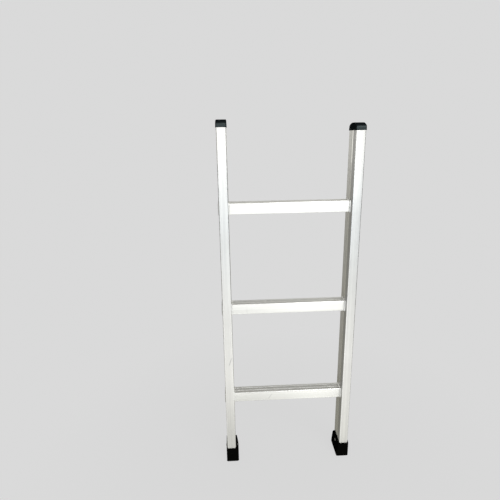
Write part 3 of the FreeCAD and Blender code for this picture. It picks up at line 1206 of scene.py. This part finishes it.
STILE_METAL = ExtrudedAluminium(
    "stile_aluminium", Grain.ALONG_STILE, groove_place=-4.5 * MM, land_span=(-30.0 * MM, 30.0 * MM),
    # Painted shade: the front part of each stile side is darkened, with a little more towards the back edge.
    lands=(
        (-29.5, 0.0), (-27.0, 1.0), (-22.0, 1.0), (-9.0, 1.0), (-6.0, 0.0), (-1.0, 0.0), (3.0, 0.25),
        (12.0, 0.1), (24.0, 0.15), (28.5, 0.5),
    ),
    scratch=Scratch((-161.5 * MM, 355.0 * MM), (-170.0 * MM, 327.0 * MM), 2.6 * MM, 0.9),
)
RUNG_METAL = ExtrudedAluminium(
    "rung_aluminium", Grain.ALONG_RUNG, colour=(0.83, 0.83, 0.80), land_span=(-15.0 * MM, 15.0 * MM),
    # Painted shade: dark lines along the tread at its grooves and at its edges.
    lands=(
        (-14.8, 0.0), (-14.4, 0.9), (-12.6, 0.9), (-12.2, 0.0), (-7.6, 0.0), (-7.2, 0.5), (-3.6, 0.5),
        (-3.2, 0.2), (3.2, 0.2), (3.6, 0.5), (8.4, 0.5), (8.8, 0.3), (12.8, 0.3), (13.4, 0.8), (14.4, 0.8),
        (14.8, 0.0),
    ),
    scratch=Scratch((-45.0 * MM, 223.0 * MM), (-59.0 * MM, 202.0 * MM), 2.2 * MM, 0.5),
)
CAP_PLASTIC = MouldedBlack("cap_plastic", (0.011, 0.0150, 0.0165), 0.33, 0.38, 0.01, sheen=(0.80, 0.99, 1.0))
FOOT_RUBBER = MouldedBlack("foot_rubber", (0.0035, 0.0035, 0.003), 0.70, 0.0, 0.006)
RIVET_METAL = RivetMetal("rivet_aluminium")


@dataclass
class Ladder:
    """The whole ladder: two stiles, three rungs, two caps, two feet and four rivets."""

    rungs: tuple[str, ...] = ("bottom_rung", "middle_rung", "top_rung")
    pieces: list[Piece] = field(default_factory=list)

    def build(self) -> None:
        """Model, dress and report every piece."""
        for finish, made in (
            (STILE_METAL, self._stiles()), (RUNG_METAL, self._rungs()), (CAP_PLASTIC, self._caps()),
            (FOOT_RUBBER, self._feet()), (RIVET_METAL, self._rivets()),
        ):
            material = finish.make()
            for node, piece in made.items():
                dress(piece, material, node)
                self.pieces.append(piece)
                log.info("%s stands for %s with %d faces", piece.name, node, len(piece.data.polygons))

    def _stiles(self) -> dict[str, Piece]:
        """Build both stiles, with a slot at the middle of each rung."""
        heights = [sum(corner.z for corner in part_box(name)) / 2 for name in self.rungs]
        return {node: Stile(node, heights).build() for node in (f"{side.word}_stile" for side in Side)}

    def _rungs(self) -> dict[str, Piece]:
        """Build one rung and copy it to the other heights.

        Returns:
            The rungs by their nodes.
        """
        inner, outer = (corner.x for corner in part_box("right_stile"))
        first, *others = self.rungs
        rung = Rung(first, inner, outer).build()
        made = {first: rung}
        for name in others:
            made[name] = copy_piece(rung, f"{name}_extrusion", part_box(name)[0].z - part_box(first)[0].z)
        return made

    def _caps(self) -> dict[str, Piece]:
        """Build the left cap and copy it to the right.

        Returns:
            The caps by their nodes.
        """
        left = EndCap("left_cap").build()
        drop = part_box("right_cap")[0].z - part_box("left_cap")[0].z
        return {"left_cap": left, "right_cap": copy_piece(left, "right_cap_hood", drop, flip=True)}

    def _feet(self) -> dict[str, Piece]:
        """Build the right foot and mirror it to the left."""
        right = Foot("right_foot", "right_stile").build()
        return {"right_foot": right, "left_foot": copy_piece(right, "left_foot_shoe", flip=True)}

    def _rivets(self) -> dict[str, Piece]:
        """Build both rivets of each foot.

        Returns:
            The rivets by their nodes.
        """
        heads = {
            f"{side.word}_foot_{place}_rivet": sign * side.value
            for side in Side for place, sign in (("inner", -1), ("outer", 1))
        }
        return {node: Rivet(node, outward).build() for node, outward in heads.items()}


@dataclass(frozen=True)
class Softbox:
    """A flat soft lamp."""

    name: str
    place: Place
    target: Place
    size: Span
    glow: float

    def hang(self) -> None:
        """Hang the lamp, with a power that gives its face the glow that it is to have."""
        data = bpy.data.lights.new(self.name, "AREA")
        data.shape = "RECTANGLE"
        data.size, data.size_y = self.size
        data.energy = self.glow * math.pi * self.size[0] * self.size[1]
        lamp = bpy.data.objects.new(self.name, data)
        bpy.context.scene.collection.objects.link(lamp)
        aim = (Vector(self.target) - Vector(self.place)).to_track_quat("-Z", "Y")
        lamp.matrix_world = Matrix.Translation(self.place) @ aim.to_matrix().to_4x4()


@dataclass
class Studio:
    """A pale floor and background, soft lamps and the camera.

    The pool is painted light: a glow that the floor shows only to reflections, brighter close to the ladder,
    with painted shade behind it and on its flanks. The belt, the room and the wings are what the metal
    mirrors of the walls.
    """

    camera_place: Place = (-0.1497, -1.0313, 0.9525)
    camera_yaw: float = -2.529
    camera_pitch: float = -15.887
    camera_roll: float = -0.934
    lens: float = 28.819
    sensor: float = 36.0
    background: float = 0.70
    ambient: float = 0.22
    belt: Colour = (1.05, 1.045, 0.97)
    belt_top: Span = (0.50, 0.66)
    belt_left: Span = (-0.22, 0.0)
    back_wall: Span = (0.0, 0.5)
    room: Colour = (0.64, 0.63, 0.59)
    ceiling: float = 0.05
    left_wing: Colour = (1.25, 1.22, 1.14)
    left_wing_front: Span = (0.15, 0.4)
    left_wing_edge: Span = (-0.55, -0.8)
    right_wing: Colour = (0.03, 0.028, 0.024)
    right_wing_edge: Span = (0.36, 0.7)
    floor_colour: Colour = (0.88, 0.88, 0.87)
    floor_roughness: float = 0.9
    floor_radius: float = 14.0
    floor_sides: int = 96
    hem: Span = (0.15, 0.8)
    hem_share: float = 0.92
    mirrored_share: float = 0.9
    pool_span: Span = (-4.0, 12.0)
    pool: tuple[tuple[float, Colour], ...] = (
        (-2.4, (1.42, 1.50, 1.55)), (-1.4, (1.10, 1.11, 1.09)), (-0.55, (1.28, 1.28, 1.25)),
        (-0.06, (0.77, 0.77, 0.73)), (0.03, (0.24, 0.23, 0.18)), (0.6, (0.30, 0.29, 0.24)),
        (2.5, (0.40, 0.39, 0.34)), (9.0, (0.60, 0.59, 0.55)),
    )
    pool_width: Span = (-0.4, 0.6)
    pool_slant: Span = (1.09, 0.99)
    near_front: Span = (-0.9, -0.5)
    near_back: Span = (-0.1, 0.0)
    near_slant: tuple[Span, ...] = (
        (-0.35, 1.08), (-0.20, 1.03), (-0.13, 0.92), (-0.04, 1.00), (0.07, 1.16), (0.14, 1.45), (0.19, 1.25),
        (0.28, 0.95), (0.60, 0.99),
    )
    flank_level: float = 0.12
    flank_edge: Span = (0.35, 0.75)
    flank_spread: Span = (-0.75, 4.0)
    lamps: tuple[Softbox, ...] = (
        Softbox("front_softbox", (0.2, -3.0, 1.25), (0.0, 0.0, 0.9), (4.2, 1.5), 1.35),
        Softbox("high_softbox", (1.35, -2.4, 2.3), (0.15, 0.0, 0.5), (2.1, 1.2), 4.9),
    )

    def build(self) -> None:
        """Set up the whole studio."""
        self._camera()
        self._floor()
        self._world()
        for lamp in self.lamps:
            lamp.hang()
        bpy.context.scene.view_settings.view_transform = "Standard"

    def _camera(self) -> None:
        """Place the camera as the photograph was taken."""
        data = bpy.data.cameras.new("camera")
        data.lens = self.lens
        data.sensor_width = self.sensor
        camera = bpy.data.objects.new("camera", data)
        bpy.context.scene.collection.objects.link(camera)
        turn = Matrix.Rotation(math.radians(self.camera_yaw), 4, "Z")
        tilt = Matrix.Rotation(math.radians(90.0 + self.camera_pitch), 4, "X")
        roll = Matrix.Rotation(math.radians(self.camera_roll), 4, "Z")
        camera.matrix_world = Matrix.Translation(self.camera_place) @ turn @ tilt @ roll
        bpy.context.scene.camera = camera

    def _floor(self) -> None:
        """Lay the pale floor, which keeps the ladder's shadow and melts into the background."""
        size = {"vertices": self.floor_sides, "radius": self.floor_radius}
        bpy.ops.mesh.primitive_circle_add(fill_type="NGON", **size)
        floor = bpy.context.object
        floor.name = "studio_floor"
        graph = SurfaceGraph("studio_floor")
        seen, mirrored = graph.light_path()
        # Reflections see the floor glow with the painted pool of light; the camera sees the even pale
        # background.
        colour = graph.blend(mirrored, grey(self.background), self._pool(graph))
        glow = graph.add("ShaderNodeEmission", {"Color": colour})
        distance = graph.vector("LENGTH", {0: graph.place})["Value"]
        shown = graph.math("MULTIPLY", graph.remap(distance, self.hem, (self.hem_share, 1.0)), seen)
        share = graph.math("MAXIMUM", shown, graph.math("MULTIPLY", mirrored, self.mirrored_share))
        sources = (share, graph.shader.outputs["BSDF"], glow.outputs["Emission"])
        mixed = graph.add("ShaderNodeMixShader", dict(enumerate(sources)))
        graph.feed(graph.output, {"Surface": mixed.outputs["Shader"]})
        looks = {"Base Color": opaque(self.floor_colour), "Roughness": self.floor_roughness}
        floor.data.materials.append(graph.surface(looks))

    def _pool(self, graph: SurfaceGraph) -> Socket:
        """Colour of the painted pool of light, brighter close to the ladder, with painted shade behind it and
        on its flanks.

        Args:
            graph: The floor's material.

        Returns:
            The colour.
        """
        across, back, _ = graph.parts(graph.place)
        # Painted light and shade: the glow is brighter close to the ladder and darker behind it and on the
        # flanks.
        near = graph.math(
            "MULTIPLY", graph.remap(back, self.near_front), graph.remap(back, self.near_back, (1.0, 0.0)),
        )
        stops = [(spot, grey(share)) for spot, share in self.near_slant]
        patch = graph.ramp(across, self.pool_width, stops)
        slant = graph.blend(near, graph.remap(across, self.pool_width, self.pool_slant), patch)
        along = graph.math("MAXIMUM", *(graph.math("MULTIPLY", back, slope) for slope in self.flank_spread))
        aside = graph.math("SUBTRACT", graph.math("ABSOLUTE", across), along)
        flanks = graph.remap(aside, self.flank_edge, (1.0, self.flank_level))
        colour = graph.ramp(back, self.pool_span, self.pool)
        return graph.vector("SCALE", {0: colour, "Scale": graph.math("MULTIPLY", slant, flanks)})["Vector"]

    def _world(self) -> None:
        """Show the pale backdrop to the camera, the belt, the room and the wings to reflections, and light
        softly all round.
        """
        world = bpy.data.worlds.new("studio")
        bpy.context.scene.world = world
        world.use_nodes = True
        sky = Graph(world.node_tree)
        across, back, up = sky.parts(sky.coordinates["Generated"])
        low = sky.remap(up, self.belt_top, (1.0, 0.0))
        behind = sky.remap(back, self.back_wall)
        strip = sky.math("MULTIPLY", sky.remap(across, self.belt_left), behind, low)
        high = sky.math("MULTIPLY", behind, sky.math("SUBTRACT", 1.0, low))
        room = sky.blend(high, opaque(self.room), grey(self.ceiling))
        dark = opaque(self.right_wing)
        left = sky.blend(sky.remap(back, self.left_wing_front), dark, opaque(self.left_wing))
        room = sky.blend(sky.remap(across, self.left_wing_edge), room, left)
        room = sky.blend(sky.remap(across, self.right_wing_edge), room, dark)
        walls = sky.blend(strip, room, opaque(self.belt))
        seen, mirrored = sky.light_path()
        colour = sky.blend(seen, sky.blend(mirrored, grey(self.ambient), walls), grey(self.background))
        backdrop = sky.add("ShaderNodeBackground", {"Color": colour})
        sky.add("ShaderNodeOutputWorld", {"Surface": backdrop.outputs["Background"]})


def main() -> None:
    """Build the ladder and its studio."""
    logging.basicConfig(level=logging.INFO, format="%(message)s")
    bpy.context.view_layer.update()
    Studio().build()
    ladder = Ladder()
    ladder.build()
    log.info("%d pieces dressed", len(ladder.pieces))


if __name__ == "__main__":
    main()
